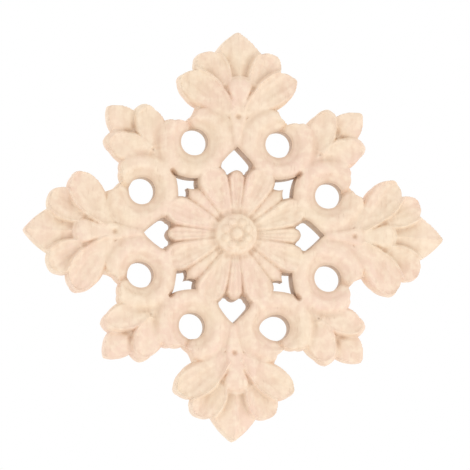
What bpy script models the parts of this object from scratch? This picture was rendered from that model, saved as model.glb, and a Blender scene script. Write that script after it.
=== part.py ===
"""A carved wooden applique: an eight-pointed openwork rosette cut from one board.

It is upright, as it is glued to a door or a wall: the flat back lies in the plane Y = 0 and
faces +Y, the carved face looks towards -Y, and the origin is the centre of the back.

The carving repeats eight times. One eighth runs from the cardinal axis (x = 0) to the diagonal
(x = y), and the rest are its mirror images. Plan points are (x, y) on the face, and the relief
is a height above the back. The pattern is drawn on a square, then strays a little as a carver's
hand does, and is stretched to the board's width and height.
"""

import math

import bpy
import numpy as np
from mathutils import Vector
from mathutils.geometry import delaunay_2d_cdt


def mm(*values):
    """Millimetres as metres, one number or a point."""
    scaled = tuple(value * 0.001 for value in values)
    return scaled if len(scaled) > 1 else scaled[0]


# Overall
PATTERN = mm(150)
WIDTH = mm(152)
HEIGHT = mm(148)
LEAF_TIP = mm(0, 75)
CORNER_TIP = mm(45.4, 45.4)
FLOOR_HEIGHT = mm(5.4)
EDGE_HEIGHT = mm(2.6)
EDGE_ROLL = mm(2.8)
FULL_HEIGHT = mm(8.6)
SOFTNESS = mm(0.35)
CLIFF = 2.6

# Outline of one eighth, from the leaf's tip to the corner leaf's tip: each point, and how far
# the arc that leaves it stands out from its chord
OUTLINE = (
    (LEAF_TIP, mm(0.15)),
    (mm(1.7, 73.9), mm(0.45)),
    (mm(8.1, 66.4), mm(0.5)),
    (mm(12.9, 66.2), mm(0.75)),
    (mm(15.6, 62.7), mm(0.25)),
    (mm(15.5, 59.7), mm(0.45)),
    (mm(19.9, 58.2), mm(0.85)),
    (mm(21.5, 54.9), mm(0.55)),
    (mm(19.0, 49.8), mm(0.35)),
    (mm(14.7, 46.3), mm(-0.15)),
    (mm(16.0, 43.0), mm(0.1)),
    (mm(18.4, 40.8), mm(0.45)),
    (mm(22.4, 41.2), mm(0.35)),
    (mm(25.4, 41.0), mm(0.3)),
    (mm(29.2, 44.7), mm(0.5)),
    (mm(33.0, 46.8), mm(0.4)),
    (mm(36.2, 44.0), mm(0.35)),
    (mm(40.8, 45.7), mm(0.3)),
)

# Openings through the board
HOLE_AT = mm(15.1, 33.3)
HOLE_RADIUS = mm(4.8)
HEART_APEX = mm(0, 32.2)
HEART = (
    (HEART_APEX, mm(0.2)),
    (mm(4.9, 26.9), mm(0.9)),
    (mm(4.5, 23.6), mm(0.7)),
    (mm(2.3, 22.4), mm(-0.3)),
)
HEART_CLEFT = mm(0, 23.7)
CLEFT_AT = mm(3.0, 22.2)
CLEFT_RADIUS = mm(0.75)
CLEFT_DEPTH = mm(2.2)
CORNER_GAP_OUTER = mm(21.8, 21.8)
CORNER_GAP = (
    (mm(16.9, 16.9), mm(0.5)),
    (mm(13.3, 17.0), mm(-0.2)),
    (mm(13.6, 20.3), mm(-0.4)),
)
CREVICE_END = mm(22.7, 22.7)
CREVICE_WIDTH = mm(1.1)
CREVICE_DEPTH = mm(2.4)

# The cut openings lean in by this much towards the back; the drilled holes don't
LEAN = mm(0.3)
ROUNDNESS = mm(0.8)

# The scroll round a hole: how far it reaches from the hole's centre in each direction (degrees,
# counted from +x towards +y), and its section from the hole's rim (0) to its outer edge (1)
SCROLL_REACH = (
    (-150, mm(12.4)),
    (-120, mm(12.6)),
    (-90, mm(13.4)),
    (-60, mm(13.6)),
    (-40, mm(13.6)),
    (-10, mm(14.8)),
    (15, mm(13.4)),
    (36, mm(12.0)),
    (55, mm(9.8)),
    (67, mm(8.8)),
    (84, mm(10.6)),
    (108, mm(13.1)),
    (130, mm(14.2)),
    (150, mm(15.0)),
    (170, mm(15.4)),
    (185, mm(15.0)),
)
SCROLL_SECTION = (
    (0.00, mm(6.6)),
    (0.30, mm(7.1)),
    (0.60, mm(7.4)),
    (0.85, mm(7.2)),
    (0.95, mm(6.9)),
    (1.00, mm(6.6)),
)
SCROLL_LINES = (
    (mm(6.2), mm(0.4)),
    (mm(8.6), mm(0.16)),
)
SCROLL_LINE_WIDTH = mm(0.4)
SEAM = (mm(17.3, 36.6), mm(19.1, 41.6))
SEAM_WIDTH = mm(0.9)
SEAM_DEPTH = mm(1.4)

# Flower
FLOWER_ROOT = mm(6.6)
PETAL_ANGLE = 23.2
PETAL_REACH = mm(26.4)
SEPAL_REACH = mm(23.8)
CORNER_SEPAL_REACH = mm(23.6)
DOME_RADIUS = mm(7.3)
DOME_EDGE = mm(7.4)
DOME_HEIGHT = mm(9.0)
KNOB_RADIUS = mm(2.1)
KNOB_HEIGHT = mm(9.8)
SEED_RING = mm(4.5)
SEED_RADIUS = mm(1.45)
SEED_RISE = mm(0.8)
SEED_COUNT = 8

# Large leaf
BULB_AT = mm(0, 53.2)
BULB_RADIUS = mm(4.0)
BULB_HEIGHT = mm(8.5)
PIT_AT = mm(5.4, 53.2)
PIT_RADIUS = mm(1.0)
PIT_DEPTH = mm(1.0)
STEM_PIT_AT = mm(0, 42.8)
STEM_PIT_RADIUS = mm(0.9)
STEM_PIT_DEPTH = mm(0.9)

# The raised rim round a lobe's end: how far inside its edge, how wide, and where along it starts
BRIM_INSIDE = mm(1.15)
BRIM_WIDTH = mm(0.65)
BRIM_FROM = 0.3

# Small leaf on the corner
CORNER_PIT_AT = mm(36.0, 38.4)
CORNER_PIT_RADIUS = mm(1.3)
CORNER_PIT_DEPTH = mm(1.6)
CORNER_GROOVE = (mm(36.0, 38.0), mm(36.1, 43.4))
CORNER_GROOVE_WIDTH = mm(1.1)
CORNER_GROOVE_DEPTH = mm(1.5)

# How finely the solid is cut
OUTLINE_STEP = mm(1.5)
GRID_STEP = mm(0.55)
FACES_PER_EIGHTH = 850
CURVE_STEPS = 16

# How the carver's hand strays from the pattern: round each place, a shift that fades over a radius
STRAYS = (
    (mm(0, 76), mm(0, -0.8), mm(7)),
    (mm(0, 58), mm(0.7, 0), mm(14)),
    (mm(42, 42), mm(-0.2, 0.5), mm(14)),
    (mm(60, 0), mm(-0.1, 0.9), mm(16)),
    (mm(42, -42), mm(0.6, 0.4), mm(14)),
    (mm(0, -58), mm(0.6, -0.3), mm(14)),
    (mm(-42, -42), mm(-0.7, -0.3), mm(14)),
    (mm(-58, 0), mm(-0.6, -0.4), mm(14)),
    (mm(-42, 42), mm(-0.5, 0.3), mm(14)),
    (mm(-28, 0), mm(-0.9, -0.5), mm(15)),
    (mm(0, 28), mm(0, -0.5), mm(7)),
    (mm(30, 0), mm(-0.7, 0.4), mm(12)),
    (mm(0, -32), mm(-0.75, -0.45), mm(14)),
    (mm(-18, 18), mm(-0.5, -0.5), mm(7)),
    (mm(-18, -18), mm(-0.9, -0.1), mm(7)),
    (mm(-33, -15), mm(-0.3, -0.4), mm(8)),
    (mm(-15, -33), mm(0.1, -0.3), mm(8)),
    (mm(15, -33), mm(-0.1, -0.1), mm(8)),
    (mm(9.6, -33), mm(-1.1, -0.4), mm(3.2)),
    (mm(-20, 55), mm(0.6, 0), mm(9)),
    (mm(55, -21), mm(0, 0.8), mm(9)),
    (mm(-20, -55), mm(0.5, -0.3), mm(9)),
    (mm(-52, -20), mm(-0.2, -0.8), mm(10)),
)

WOOD_COLOUR = (0.90, 0.72, 0.52, 1.0)
WOOD_ROUGHNESS = 0.65


def clear_scene():
    for obj in list(bpy.data.objects):
        bpy.data.objects.remove(obj, do_unlink=True)


def arc(start, end, rise, step):
    """Points on the arc from start up to end, leaving end out. It stands out to the left by rise."""
    start = np.array(start)
    chord = np.array(end) - start
    length = math.hypot(*chord)
    along = chord / length
    left = np.array((-along[1], along[0]))
    count = max(1, round(length / step))
    way = np.arange(count) / count
    if rise == 0:
        return start + way[:, None] * chord
    size = abs(rise)
    radius = (length**2 / 4 + size**2) / (2 * size)
    turn = (2 * way - 1) * math.asin(length / 2 / radius)
    forward = length / 2 + radius * np.sin(turn)
    aside = math.copysign(1, rise) * (radius * np.cos(turn) - radius + size)
    return start + forward[:, None] * along + aside[:, None] * left


def arcs(corners, last, step):
    """The points of a row of arcs, with its last point."""
    ends = [point for point, _ in corners[1:]] + [last]
    runs = [arc(point, end, rise, step) for (point, rise), end in zip(corners, ends)]
    return np.vstack(runs + [np.array([last])])


def straight(start, end, step):
    """Points between start and end, leaving both out."""
    return arc(start, end, 0, step)[1:]


def ease(where, knots):
    """A smooth curve through (place, value) knots, level beyond its ends."""
    places, values = (np.array(column, float) for column in zip(*knots))
    slopes = np.gradient(values, places)
    where = np.clip(where, places[0], places[-1])
    index = np.clip(np.searchsorted(places, where, side="right") - 1, 0, len(places) - 2)
    span = places[index + 1] - places[index]
    way = (where - places[index]) / span
    start_share = (1 + 2 * way) * (1 - way) ** 2
    end_share = way**2 * (3 - 2 * way)
    start_pull = way * (1 - way) ** 2 * span * slopes[index]
    end_pull = -(way**2) * (1 - way) * span * slopes[index + 1]
    return start_share * values[index] + end_share * values[index + 1] + start_pull + end_pull


def depth_inside(points, loop):
    """How far each point is inside a closed loop, negative outside."""
    nearest = np.full(len(points), np.inf)
    inside = np.zeros(len(points), bool)
    for start, end in zip(loop, np.roll(loop, -1, axis=0)):
        edge = end - start
        offset = points - start
        share = np.clip(offset @ edge / (edge @ edge), 0, 1)
        nearest = np.minimum(nearest, ((offset - share[:, None] * edge) ** 2).sum(axis=1))
        crosses = (points[:, 1] < start[1]) != (points[:, 1] < end[1])
        if edge[1] != 0:
            inside ^= crosses & (offset[:, 0] < edge[0] * offset[:, 1] / edge[1])
    return np.where(inside, 1, -1) * np.sqrt(nearest)


def higher(first, second, soft=SOFTNESS):
    """The greater of two heights, with the crease between them softened."""
    return (first + second + np.sqrt((first - second) ** 2 + soft**2)) / 2


def lower(first, second, soft=SOFTNESS):
    return -higher(-first, -second, soft)


def pillow(depth, crest, edge, roll):
    """A swelling: crest inside, rolled over to edge at its border, and falling away outside."""
    rise = np.sqrt(1 - (1 - np.clip(depth / roll, 0, 1)) ** 2)
    return np.where(depth > 0, edge + (crest - edge) * rise, edge + CLIFF * depth)


def brim(depth, way, rise):
    """The raised rim round a lobe's end, given each point's depth inside it and way along it."""
    share = np.clip((way - BRIM_FROM) / BRIM_FROM, 0, 1)
    return rise * share * np.exp(-(((depth - BRIM_INSIDE) / BRIM_WIDTH) ** 2))


def dent(points, centre, radius, depth):
    """A round hollow, as a gouge's point leaves it."""
    reach = np.hypot(*(points - np.array(centre)).T) / radius
    return depth * np.exp(-(reach**2))


def cut(points, start, end, width, depth):
    """A straight groove of V section."""
    start = np.array(start)
    run = np.array(end) - start
    offset = points - start
    share = np.clip(offset @ run / (run @ run), 0, 1)
    away = np.hypot(*(offset - share[:, None] * run).T)
    return depth * np.clip(1 - away / width, 0, 1)


class Blade:
    """A leaf-shaped piece of the carving: an axis from base to tip, and half-widths along it."""

    def __init__(self, base, tip, widths, round_from=0.8, bow=0.0):
        self.base = np.array(base)
        run = np.array(tip) - self.base
        self.length = math.hypot(*run)
        self.along = run / self.length
        self.left = np.array((-self.along[1], self.along[0]))
        self.widths = widths
        self.round_from = round_from
        self.bow = bow

    def bend(self, way):
        """How far the bowed axis stands to the left of the straight one."""
        return 4 * self.bow * way * (1 - way)

    def half_width(self, way):
        end = np.clip((way - self.round_from) / (1 - self.round_from), 0, 1)
        return ease(way, self.widths) * np.sqrt(1 - end**2)

    def loop(self):
        way = 1 - np.linspace(1, 0, CURVE_STEPS) ** 1.6
        width = self.half_width(way)
        axis = self.base + way[:, None] * self.length * self.along
        bend = self.bend(way)
        left_side = axis + (bend + width)[:, None] * self.left
        right_side = axis + (bend - width)[:, None] * self.left
        return np.vstack([right_side, left_side[-2::-1]])

    def measure(self, points):
        """For each point its way along the axis (0 to 1), its place across it (-1 to 1, left
        positive), and its depth inside the blade's edge."""
        offset = points - self.base
        way = np.clip(offset @ self.along / self.length, 0, 1)
        width = np.maximum(self.half_width(way), mm(0.4))
        across = np.clip((offset @ self.left - self.bend(way)) / width, -1, 1)
        return way, across, depth_inside(points, self.loop())


def polar(reach, degrees):
    """A plan point at that distance from the centre, turned from +y towards +x."""
    angle = math.radians(degrees)
    return (reach * math.sin(angle), reach * math.cos(angle))


def scroll(points):
    """The fluted C-scroll round a hole."""
    offset = points - np.array(HOLE_AT)
    distance = np.hypot(*offset.T)
    heading = np.degrees(np.arctan2(offset[:, 1], offset[:, 0]))
    first = SCROLL_REACH[0]
    last = SCROLL_REACH[-1]
    knots = ((last[0] - 360, last[1]),) + SCROLL_REACH + ((first[0] + 360, first[1]),)
    reach = ease(heading, knots)
    reach = np.where(heading < first[0], ease(heading + 360, knots), reach)
    way = (distance - HOLE_RADIUS) / (reach - HOLE_RADIUS)
    body = ease(way, SCROLL_SECTION)
    for radius, depth in SCROLL_LINES:
        body = body - depth * np.exp(-(((distance - radius) / SCROLL_LINE_WIDTH) ** 2))
    edge = SCROLL_SECTION[-1][1]
    return np.where(way < 1, body, edge - CLIFF * (distance - reach))


def petal(points):
    """A spoon-shaped petal with a raised rim and a dished middle."""
    widths = ((0, mm(1.7)), (0.3, mm(3.3)), (0.6, mm(4.8)), (0.85, mm(5.5)), (1, mm(5.2)))
    base = polar(FLOWER_ROOT, PETAL_ANGLE)
    blade = Blade(base, polar(PETAL_REACH, PETAL_ANGLE), widths, round_from=0.74)
    way, across, depth = blade.measure(points)
    crest = ease(way, ((0, mm(7.0)), (0.4, mm(7.4)), (0.75, mm(8.0)), (1, mm(7.5))))
    dish = mm(1.0) * np.exp(-((across / 0.55) ** 2) - ((way - 0.62) / 0.3) ** 2)
    return pillow(depth, crest, mm(6.4), mm(1.7)) - dish + brim(depth, way, mm(0.3))


def sepal(points):
    """The three-ribbed sepal on a cardinal axis."""
    widths = ((0, mm(1.2)), (0.4, mm(2.1)), (0.7, mm(2.7)), (0.9, mm(2.8)), (1, mm(2.3)))
    blade = Blade(polar(FLOWER_ROOT, 0), polar(SEPAL_REACH, 0), widths, round_from=0.84)
    way, across, depth = blade.measure(points)
    crest = ease(way, ((0, mm(6.7)), (0.6, mm(7.0)), (1, mm(6.5))))
    ribs = mm(0.22) * np.cos(3 * math.pi * across) * np.clip(way * 4, 0, 1)
    return pillow(depth, crest + ribs, mm(6.0), mm(0.8))


def corner_sepal(points):
    """The narrow tongue on a diagonal."""
    widths = ((0, mm(0.9)), (0.4, mm(1.7)), (0.75, mm(2.4)), (1, mm(1.9)))
    tip = polar(CORNER_SEPAL_REACH, 45)
    blade = Blade(polar(FLOWER_ROOT, 45), tip, widths, round_from=0.8)
    way, across, depth = blade.measure(points)
    crest = ease(way, ((0, mm(6.6)), (0.6, mm(6.9)), (1, mm(6.2)))) - mm(0.3) * np.abs(across)
    return pillow(depth, crest, mm(5.8), mm(1.2))


def centre(points):
    """The domed centre with its ring of seeds and its knob."""
    distance = np.hypot(*points.T)
    dome_share = np.clip(1 - (distance / DOME_RADIUS) ** 2, 0, None)
    dome = DOME_EDGE + (DOME_HEIGHT - DOME_EDGE) * np.sqrt(dome_share)
    for index in range(SEED_COUNT):
        at = polar(SEED_RING, (index + 0.5) * 360 / SEED_COUNT)
        away = np.hypot(*(points - np.array(at)).T) / SEED_RADIUS
        dome = dome + SEED_RISE * np.sqrt(np.clip(1 - away**2, 0, 1))
    knob_share = np.clip(1 - (distance / KNOB_RADIUS) ** 2, 0, None)
    knob = np.where(distance < KNOB_RADIUS, DOME_HEIGHT - mm(0.5) + (
        KNOB_HEIGHT - DOME_HEIGHT + mm(0.5)) * np.sqrt(knob_share), 0)
    groove = mm(0.5) * np.exp(-(((distance - KNOB_RADIUS - mm(0.3)) / mm(0.6)) ** 2))
    dome = np.maximum(dome - groove, knob)
    return np.where(distance < DOME_RADIUS, dome, DOME_EDGE - CLIFF * (distance - DOME_RADIUS))


def middle_lobe(points):
    """The pointed lobe at a large leaf's end, ridged down its middle."""
    widths = ((0, mm(2.6)), (0.2, mm(3.2)), (0.38, mm(5.2)), (0.53, mm(8.4)), (1, mm(0.3)))
    blade = Blade(mm(0, 56.2), mm(0, 75.6), widths, round_from=0.97)
    way, across, depth = blade.measure(points)
    crest = ease(way, ((0, mm(6.9)), (0.5, mm(7.1)), (1, mm(6.0))))
    gable = mm(1.5) * np.abs(across) ** 0.9
    flare = mm(0.6) * np.clip((np.abs(across) - 0.5) / 0.5, 0, 1) ** 2
    return pillow(depth, crest - gable + flare, mm(4.9), mm(1.1))


def second_lobe(points):
    """The rounded lobe beside the middle one."""
    widths = ((0, mm(2.6)), (0.3, mm(5.4)), (0.6, mm(6.3)), (0.85, mm(5.6)), (1, mm(4.6)))
    blade = Blade(mm(5.2, 51.2), mm(13.6, 67.2), widths, round_from=0.78, bow=mm(0.4))
    way, across, depth = blade.measure(points)
    crest = ease(way, ((0, mm(6.1)), (0.4, mm(7.1)), (0.75, mm(7.2)), (1, mm(6.5))))
    hollow = mm(1.1) * np.exp(-(((across + 0.1) / 0.45) ** 2) - ((way - 0.6) / 0.3) ** 2)
    body = pillow(depth, crest + mm(0.3) * across - hollow, mm(5.6), mm(1.3))
    return body + brim(depth, way, mm(0.45))


def tongue_lobe(points):
    """The big lobe that lies over the others, with a high rim along its inner edge beside a long
    hollow."""
    widths = ((0, mm(1.9)), (0.25, mm(4.2)), (0.5, mm(6.0)), (0.8, mm(5.9)), (1, mm(5.2)))
    blade = Blade(mm(1.9, 44.3), mm(21.2, 58.2), widths, round_from=0.8, bow=mm(0.7))
    way, across, depth = blade.measure(points)
    crest = ease(way, ((0, mm(7.1)), (0.4, mm(7.2)), (0.75, mm(7.3)), (1, mm(6.6))))
    edge = ease(way, ((0, mm(6.8)), (0.35, mm(6.2)), (1, mm(5.7))))
    tilt = mm(0.5) * across
    hollow = mm(1.1) * np.exp(-(((across - 0.05) / 0.42) ** 2) - ((way - 0.62) / 0.34) ** 2)
    return pillow(depth, crest + tilt - hollow, edge, mm(1.3)) + brim(depth, way, mm(0.5))


def stem(points):
    """The rib from the heart-shaped opening up to the bulb."""
    widths = ((0, mm(1.0)), (0.35, mm(1.9)), (0.55, mm(2.9)), (0.7, mm(3.1)), (1, mm(2.6)))
    blade = Blade(mm(0, 31.0), mm(0, 51.5), widths, round_from=0.95)
    way, across, depth = blade.measure(points)
    crest = ease(way, ((0, mm(7.2)), (0.5, mm(7.5)), (1, mm(7.8))))
    edge = ease(way, ((0, mm(6.1)), (0.5, mm(6.7)), (1, mm(7.0))))
    return pillow(depth, crest, edge, mm(1.4))


def bulb(points):
    """The rounded knob where the lobes of a large leaf part."""
    widths = ((0, mm(1.9)), (0.35, mm(3.0)), (0.7, mm(4.4)), (1, mm(4.6)))
    root = (0, BULB_AT[1] - 2 * BULB_RADIUS)
    end = (0, BULB_AT[1] + BULB_RADIUS)
    blade = Blade(root, end, widths, round_from=0.7)
    way, across, depth = blade.measure(points)
    crest = ease(way, ((0, mm(7.2)), (0.65, BULB_HEIGHT), (1, mm(7.8))))
    edge = ease(way, ((0, mm(7.1)), (0.5, mm(6.8)), (1, mm(6.3))))
    return pillow(depth, crest, edge, mm(1.8))


def corner_side_lobe(points):
    """One of the two outer lobes of a small leaf."""
    widths = ((0, mm(2.6)), (0.3, mm(5.0)), (0.6, mm(5.2)), (0.85, mm(4.2)), (1, mm(3.2)))
    blade = Blade(mm(29.0, 30.4), mm(33.1, 46.4), widths, round_from=0.82, bow=mm(-0.3))
    way, across, depth = blade.measure(points)
    crest = ease(way, ((0, mm(6.9)), (0.45, mm(7.3)), (1, mm(6.5))))
    hollow = mm(0.7) * np.exp(-(((across - 0.1) / 0.4) ** 2) - ((way - 0.6) / 0.35) ** 2)
    tilt = mm(-0.4) * across
    return pillow(depth, crest + tilt - hollow, mm(5.6), mm(1.3)) + brim(depth, way, mm(0.3))


def corner_middle_lobe(points):
    """The diamond-shaped lobe at a small leaf's end."""
    widths = ((0, mm(1.6)), (0.45, mm(5.6)), (0.62, mm(5.6)), (1, mm(0.3)))
    blade = Blade(polar(mm(50.5), 45), polar(mm(64.6), 45), widths, round_from=0.97)
    way, across, depth = blade.measure(points)
    crest = ease(way, ((0, mm(5.2)), (0.35, mm(6.0)), (1, mm(5.5))))
    gable = mm(0.6) * np.abs(across) ** 1.3
    return pillow(depth, crest - gable, mm(4.6), mm(0.9))


FEATURES = (
    scroll,
    petal,
    sepal,
    corner_sepal,
    centre,
    middle_lobe,
    second_lobe,
    tongue_lobe,
    stem,
    bulb,
    corner_side_lobe,
    corner_middle_lobe,
)


def mirror_images(points):
    """The plan points, and their images across the cardinal axis and the diagonal."""
    return (points, points * np.array((-1, 1)), points[:, ::-1])


def relief(points, rim):
    """The height of the carved face over the back, in the first eighth."""
    height = np.full(len(points), FLOOR_HEIGHT)
    for feature in FEATURES:
        for image in mirror_images(points):
            height = higher(height, feature(image))
    crevice = cut(points, CORNER_GAP_OUTER, CREVICE_END, CREVICE_WIDTH, CREVICE_DEPTH)
    height = height - crevice
    for image in mirror_images(points):
        height = height - dent(image, CLEFT_AT, CLEFT_RADIUS, CLEFT_DEPTH)
        height = height - dent(image, PIT_AT, PIT_RADIUS, PIT_DEPTH)
        height = height - dent(image, CORNER_PIT_AT, CORNER_PIT_RADIUS, CORNER_PIT_DEPTH)
        height = height - cut(image, *SEAM, SEAM_WIDTH, SEAM_DEPTH)
        height = height - cut(image, *CORNER_GROOVE, CORNER_GROOVE_WIDTH, CORNER_GROOVE_DEPTH)
    height = height - dent(points, STEM_PIT_AT, STEM_PIT_RADIUS, STEM_PIT_DEPTH)
    border = pillow(depth_inside(points, rim), FULL_HEIGHT + mm(2), EDGE_HEIGHT, EDGE_ROLL)
    return np.maximum(lower(height, border, mm(0.4)), mm(2.2))


def full_rim():
    """The applique's whole outer outline, for measuring how near its edge a point is."""
    eighth = arcs(OUTLINE, CORNER_TIP, OUTLINE_STEP)
    quarter = np.vstack([eighth, eighth[-2::-1, ::-1]])
    half = np.vstack([quarter, (quarter * np.array((1, -1)))[-2::-1]])
    return np.vstack([half, (half * np.array((-1, 1)))[-2:0:-1]])


def eighth_loops():
    """The border of one eighth, clockwise from the leaf's tip, and the round hole in it."""
    outer = arcs(OUTLINE, CORNER_TIP, OUTLINE_STEP)
    diagonal = straight(CORNER_TIP, CORNER_GAP_OUTER, OUTLINE_STEP)
    gap = arcs(CORNER_GAP, CORNER_GAP_OUTER, OUTLINE_STEP)[::-1]
    inner_diagonal = straight(gap[-1], (0, 0), OUTLINE_STEP)
    axis = np.vstack([np.zeros((1, 2)), straight((0, 0), HEART_CLEFT, OUTLINE_STEP)])
    heart = arcs(HEART, HEART_CLEFT, OUTLINE_STEP)[::-1]
    outer_axis = straight(HEART_APEX, LEAF_TIP, OUTLINE_STEP)
    border = np.vstack([outer, diagonal, gap, inner_diagonal, axis, heart, outer_axis])
    count = round(2 * math.pi * HOLE_RADIUS / OUTLINE_STEP)
    turn = np.arange(count) * 2 * math.pi / count
    hole = np.array(HOLE_AT) + HOLE_RADIUS * np.column_stack([np.cos(turn), np.sin(turn)])
    return border, hole


def honeycomb(border, hole):
    """Points of a triangular grid inside the border and outside the hole."""
    low = border.min(axis=0)
    high = border.max(axis=0)
    rows = np.arange(low[1], high[1], GRID_STEP * math.sqrt(3) / 2)
    grid = []
    for index, y in enumerate(rows):
        x = np.arange(low[0] + (index % 2) * GRID_STEP / 2, high[0], GRID_STEP)
        grid.append(np.column_stack([x, np.full(len(x), y)]))
    points = np.vstack(grid)
    clear = GRID_STEP * 0.6
    keep = (depth_inside(points, border) > clear) & (depth_inside(points, hole) < -clear)
    return points[keep]


def triangulate(loops, inner):
    """Triangles over the area inside the first loop and outside the others."""
    points = np.vstack([*loops, inner])
    edges = []
    first = 0
    for loop in loops:
        count = len(loop)
        edges += [(first + index, first + (index + 1) % count) for index in range(count)]
        first += count
    made = delaunay_2d_cdt([Vector(point) for point in points], edges, [], 0, 1e-9)
    source = [origin[0] for origin in made[3]]
    triangles = np.array([[source[index] for index in face] for face in made[2]])
    middles = points[triangles].mean(axis=1)
    keep = depth_inside(middles, loops[0]) > 0
    for loop in loops[1:]:
        keep &= depth_inside(middles, loop) < 0
    triangles = triangles[keep]
    first_side = points[triangles[:, 1]] - points[triangles[:, 0]]
    second_side = points[triangles[:, 2]] - points[triangles[:, 0]]
    turned = first_side[:, 0] * second_side[:, 1] < first_side[:, 1] * second_side[:, 0]
    triangles[turned] = triangles[turned][:, ::-1]
    return points, triangles


def simplified(points, triangles, border_count):
    """The carved surface with its flatter parts in fewer faces. The first points, which are its
    borders, stay where they are."""
    mesh = bpy.data.meshes.new("eighth")
    mesh.from_pydata(points.tolist(), [], triangles.tolist())
    obj = bpy.data.objects.new("eighth", mesh)
    bpy.context.scene.collection.objects.link(obj)
    group = obj.vertex_groups.new(name="inner")
    group.add(list(range(border_count, len(points))), 1.0, "REPLACE")
    fewer = obj.modifiers.new("fewer", "DECIMATE")
    fewer.ratio = FACES_PER_EIGHTH / len(triangles)
    fewer.vertex_group = group.name
    bpy.context.view_layer.update()
    graph = bpy.context.evaluated_depsgraph_get()
    result = obj.evaluated_get(graph).to_mesh()
    result.calc_loop_triangles()
    kept_points = np.array([tuple(vertex.co) for vertex in result.vertices])
    kept_triangles = np.array([tuple(face.vertices) for face in result.loop_triangles])
    bpy.data.objects.remove(obj, do_unlink=True)
    bpy.data.meshes.remove(mesh)
    return kept_points, kept_triangles


def eight_fold(points, triangles):
    """All eight mirror images of one eighth of the face, before their seams are joined."""
    all_points = []
    all_triangles = []
    for swap in (False, True):
        for side in (1, -1):
            for up in (1, -1):
                image = points[:, (1, 0, 2)] if swap else points
                image = image * np.array((side, up, 1))
                mirrored = swap != (side * up < 0)
                faces = triangles[:, ::-1] if mirrored else triangles
                all_triangles.append(faces + len(all_points) * len(points))
                all_points.append(image)
    return np.vstack(all_points), np.vstack(all_triangles)


def joined(points, triangles):
    """The same surface with the points that coincide made one."""
    rounded = np.round(points / mm(0.002)).astype(int)
    _, first, index = np.unique(rounded, axis=0, return_index=True, return_inverse=True)
    return points[first], index.reshape(-1)[triangles]


def rims(points, triangles):
    """The open borders of a surface as loops of point numbers, the longest one first."""
    sides = {(int(face[i]), int(face[i - 2])) for face in triangles for i in range(3)}
    onward = {end: start for start, end in sides if (end, start) not in sides}
    loops = []
    while onward:
        first, here = onward.popitem()
        loop = [first]
        while here != first:
            loop.append(here)
            here = onward.pop(here)
        loops.append(loop)
    return sorted(loops, key=lambda loop: -np.ptp(points[loop, 0]))


def leaned(loop):
    """The outline of an opening at the back: drawn in if the opening is cut, not if drilled."""
    middle = loop.mean(axis=0)
    reach = np.hypot(*(loop - middle).T)
    if np.ptp(reach) < ROUNDNESS:
        return loop
    return middle + (loop - middle) * (1 - LEAN / reach.mean())


def strayed(points):
    """Plan points moved as a carver's hand strays from the pattern."""
    moved = points.copy()
    for place, shift, radius in STRAYS:
        away = np.hypot(*(points - np.array(place)).T) / radius
        moved += np.exp(-(away**2))[:, None] * np.array(shift)
    return moved


def applique():
    """The whole carving as one closed solid."""
    border, hole = eighth_loops()
    plan, triangles = triangulate([border, hole], honeycomb(border, hole))
    carved = np.column_stack([plan, relief(plan, full_rim())])
    carved, triangles = simplified(carved, triangles, len(border) + len(hole))
    face, triangles = joined(*eight_fold(carved, triangles))
    face[:, :2] = strayed(face[:, :2])
    loops = rims(face, triangles)
    rim = [face[loop, :2] for loop in loops]
    back_loops = [rim[0]] + [leaned(loop) for loop in rim[1:]]
    back, back_triangles = triangulate(back_loops, np.empty((0, 2)))
    walls = []
    first = len(face)
    for loop in loops:
        for index, upper in enumerate(loop):
            following = (index + 1) % len(loop)
            walls.append((upper, loop[following], first + following, first + index))
        first += len(loop)
    back_faces = (back_triangles[:, ::-1] + len(face)).tolist()
    solid = np.vstack([face, np.column_stack([back, np.zeros(len(back))])])
    across = solid[:, 0] * WIDTH / PATTERN
    up = solid[:, 1] * HEIGHT / PATTERN
    placed = np.column_stack([across, -solid[:, 2], up])
    mesh = bpy.data.meshes.new("applique")
    mesh.from_pydata(placed.tolist(), [], triangles.tolist() + walls + back_faces)
    return mesh


def wood():
    """Pale unfinished wood."""
    material = bpy.data.materials.new("wood")
    material.use_nodes = True
    shader = material.node_tree.nodes["Principled BSDF"]
    shader.inputs["Base Color"].default_value = WOOD_COLOUR
    shader.inputs["Roughness"].default_value = WOOD_ROUGHNESS
    return material


def main():
    clear_scene()
    mesh = applique()
    mesh.materials.append(wood())
    mesh.shade_smooth()
    mesh.set_sharp_from_angle(angle=math.radians(35))
    obj = bpy.data.objects.new("applique", mesh)
    bpy.context.scene.collection.objects.link(obj)


main()
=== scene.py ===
"""The looks of the carved wooden applique: its fine carving, raw wood, soft light and camera."""

import math

import bpy
import numpy as np
from mathutils import Matrix, Vector, noise
from mathutils.geometry import delaunay_2d_cdt

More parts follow.
